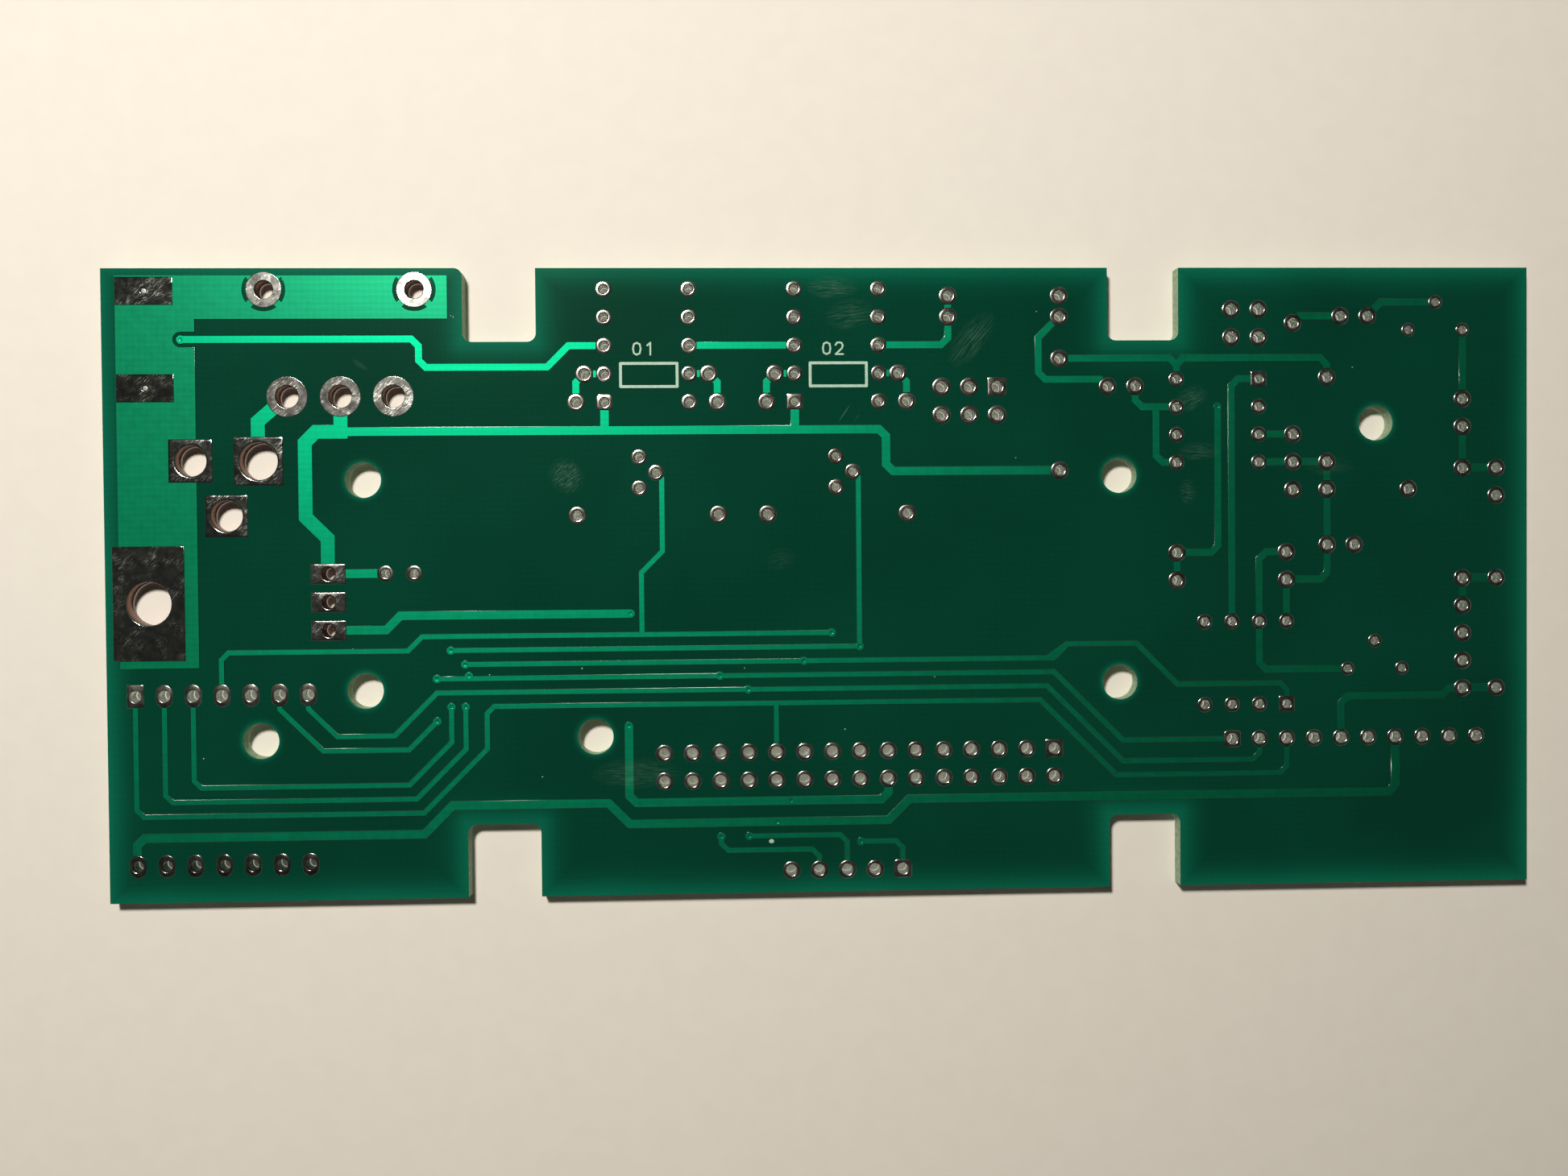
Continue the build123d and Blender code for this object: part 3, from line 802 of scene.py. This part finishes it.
def buildInk(material):
    look = inkLook
    bm = bmesh.new()
    for left, right in look["frames"]:
        inkFrame(bm, left, right, *look["frameRise"])
    for number, left in zip(look["numbers"], look["numberLeft"]):
        for step, figure in enumerate(number):
            inkFigure(bm, figure, left + step * look["numberStep"])
    speck = Matrix.Translation(onBoard(*look["speck"])) @ Matrix.Diagonal((*look["speckSize"], 1))
    bmesh.ops.create_icosphere(bm, subdivisions=2, radius=1.0, matrix=speck)
    bmesh.ops.recalc_face_normals(bm, faces=bm.faces)
    finishPiece(bm, "white_ink", [material], smooth=False)


# Dust: a few pale specks, where the photograph shows them

dustLook = {
    "colour": (0.42, 0.45, 0.36, 1),
    "dark": (0.25, 0.26, 0.18, 1),
    "grainScale": 6000.0,
    "places": ((1095, 1365), (-133, 1045), (-55, 1568), (-1689, 306), (-1112, 301), (-1833, -78), (-754, 78),
               (-430, 262), (-3017, 3), (-2136, 1557), (-2128, 1552), (-1990, 380), (-2015, 287)),
    "size": (0.05, 0.11),
    "height": 0.02 * mm,
}


def dustFinish():
    material, tree, bsdf, place = newMaterial("dust", Roughness=0.9)
    noise = noiseField(tree, place, dustLook["grainScale"])
    tree.links.new(mixColour(tree, noise, dustLook["dark"], dustLook["colour"]), bsdf.inputs["Base Color"])
    return material


def buildDust(material):
    draw = random.Random("dust")
    bm = bmesh.new()
    for point in dustLook["places"]:
        width, depth = draw.uniform(*dustLook["size"]) * mm, draw.uniform(*dustLook["size"]) * mm
        turn = Matrix.Rotation(draw.uniform(0, math.pi), 4, "Z")
        size = Matrix.Diagonal((width, depth, dustLook["height"], 1))
        speck = Matrix.Translation(onBoard(*point)) @ turn @ size
        bmesh.ops.create_icosphere(bm, subdivisions=1, radius=1.0, matrix=speck)
    finishPiece(bm, "dust", [material])


# Build

laminateMaterial = laminateFinish("greenLaminate", laminateLook["levelCoat"])
flankMaterial = laminateFinish("slopingLacquer", laminateLook["slopingCoat"])
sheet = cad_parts["laminate"]
sheet.data.materials.clear()
sheet.data.materials.append(laminateMaterial)
print("laminate finished")

trackMaterial = copperFinish("trackCopper")
pourMaterial = copperFinish("pourCopper")
tinMaterials = {name: tinFinish(name) for name in tinLook}
landNodes = [node for node in sorted(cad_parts) if node.endswith("_lands") or node in landLook["tin"]]
landsOf = {node: readLands(node) for node in landNodes}
allLands = [land for lands in landsOf.values() for land in lands]
for node in sorted(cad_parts):
    if node in landsOf:
        buildLands(node, tinMaterials[landLook["tin"].get(node, "soldered")], landsOf[node])
    elif node != "laminate":
        copper = pourMaterial if node == "copper_pour" else trackMaterial
        buildCopper(node, [copper, flankMaterial], allLands)
print("copper and tin finished")

buildInk(inkFinish())
buildDust(dustFinish())
print("ink and dust finished")


# Floor, light and camera

stageLook = {
    "paper": (0.80, 0.762, 0.695, 1),
    "paperShade": (0.785, 0.746, 0.68, 1),
    "paperGrain": 420.0,
    "paperRelief": 0.02 * mm,
    "floorHalf": 4.0,
    "floorDrop": 0.04 * mm,
    "contact": 0.3 * mm,
    "lampPlace": (-85 * mm, 130 * mm, 262 * mm),
    "lampWidth": 45 * mm,
    "lampPower": 1.0,
    "lampColour": (1.0, 0.945, 0.86),
    "sky": (0.030, 0.029, 0.027, 1),
    "horizon": (0.42, 0.40, 0.37, 1),
    "underside": (1.0, 0.97, 0.92, 1),
    "background": (0.74, 0.71, 0.66, 1),
    "fade": (0.085, 0.2),
}


def floorFinish():
    look = stageLook
    material, tree, bsdf, place = newMaterial("paleFloor", Roughness=0.85)
    noise = noiseField(tree, place, look["paperGrain"], 6.0)
    colour = mixColour(tree, smoothRange(tree, noise, 0.3, 0.7), look["paperShade"], look["paper"])
    tree.links.new(colour, bsdf.inputs["Base Color"])
    addBump(tree, bsdf, noise, look["paperRelief"], 0.3)
    # far from the board the floor turns into the plain background
    rays = shaderNode(tree, "ShaderNodeLightPath").outputs
    far = smoothRange(tree, vectorNode(tree, "LENGTH", place)["Value"], *look["fade"])
    away = mathNode(tree, "MULTIPLY", far, rays["Is Camera Ray"])
    plain = shaderNode(tree, "ShaderNodeEmission", None, Color=look["background"])
    faded = shaderNode(tree, "ShaderNodeMixShader", None, i0=away, i1=bsdf.outputs[0], i2=plain.outputs[0])
    # from below the floor lets the camera through, and the light that reaches the underside of the board
    below = shaderNode(tree, "ShaderNodeNewGeometry").outputs["Backfacing"]
    close = mathNode(tree, "LESS_THAN", rays["Ray Length"], look["contact"])
    bounced = mathNode(tree, "SUBTRACT", 1.0, rays["Is Camera Ray"])
    through = mathNode(tree, "MAXIMUM", below, mathNode(tree, "MULTIPLY", close, bounced))
    clear = shaderNode(tree, "ShaderNodeBsdfTransparent")
    mixed = shaderNode(tree, "ShaderNodeMixShader", None, i0=through, i1=faded.outputs[0],
                       i2=clear.outputs[0])
    tree.links.new(mixed.outputs[0], tree.nodes["Material Output"].inputs["Surface"])
    return material


def buildFloor(material):
    bm = bmesh.new()
    bmesh.ops.create_grid(bm, x_segments=1, y_segments=1, size=stageLook["floorHalf"],
                          matrix=Matrix.Translation((0, 0, sheetLow.z - stageLook["floorDrop"])))
    mesh = bpy.data.meshes.new("floor")
    bm.to_mesh(mesh)
    bm.free()
    mesh.materials.append(material)
    floor = bpy.data.objects.new("floor", mesh)
    scene.collection.objects.link(floor)


def buildSky():
    look = stageLook
    world = bpy.data.worlds.new("studio")
    scene.world = world
    world.use_nodes = True
    tree = world.node_tree
    way = shaderNode(tree, "ShaderNodeTexCoord").outputs["Generated"]
    rise = splitAxes(tree, way)[2]
    colour = mixColour(tree, smoothRange(tree, rise, 0.05, 0.3), look["horizon"], look["sky"])
    colour = mixColour(tree, smoothRange(tree, rise, -0.05, -0.2), colour, look["underside"])
    seen = shaderNode(tree, "ShaderNodeLightPath").outputs["Is Camera Ray"]
    colour = mixColour(tree, seen, colour, look["background"])
    tree.links.new(colour, tree.nodes["Background"].inputs["Color"])


def buildLamp():
    lamp = bpy.data.lights.new("deskLamp", "AREA")
    lamp.shape = "DISK"
    lamp.size = stageLook["lampWidth"]
    lamp.energy = stageLook["lampPower"]
    lamp.color = stageLook["lampColour"]
    holder = bpy.data.objects.new("deskLamp", lamp)
    holder.location = stageLook["lampPlace"]
    aim = Vector((0, 0, 0)) - holder.location
    holder.rotation_euler = aim.to_track_quat("-Z", "Y").to_euler()
    scene.collection.objects.link(holder)


cameraLook = {
    "place": (-8.965 * mm, 1.342 * mm, 127.1 * mm),
    "turn": (-0.877, -2.197, -0.497),
    "focalPixels": 1720,
    "imageWidth": 1946,
    "sensor": 36,
    "nearest": 1 * mm,
}


def buildCamera():
    look = cameraLook
    camera = bpy.data.cameras.new("photoView")
    camera.sensor_width = look["sensor"]
    camera.lens = look["sensor"] * look["focalPixels"] / look["imageWidth"]
    camera.clip_start = look["nearest"]
    holder = bpy.data.objects.new("photoView", camera)
    holder.location = look["place"]
    holder.rotation_euler = [math.radians(a) for a in look["turn"]]
    scene.collection.objects.link(holder)
    scene.camera = holder


buildFloor(floorFinish())
buildSky()
buildLamp()
buildCamera()
print("stage, light and camera ready")
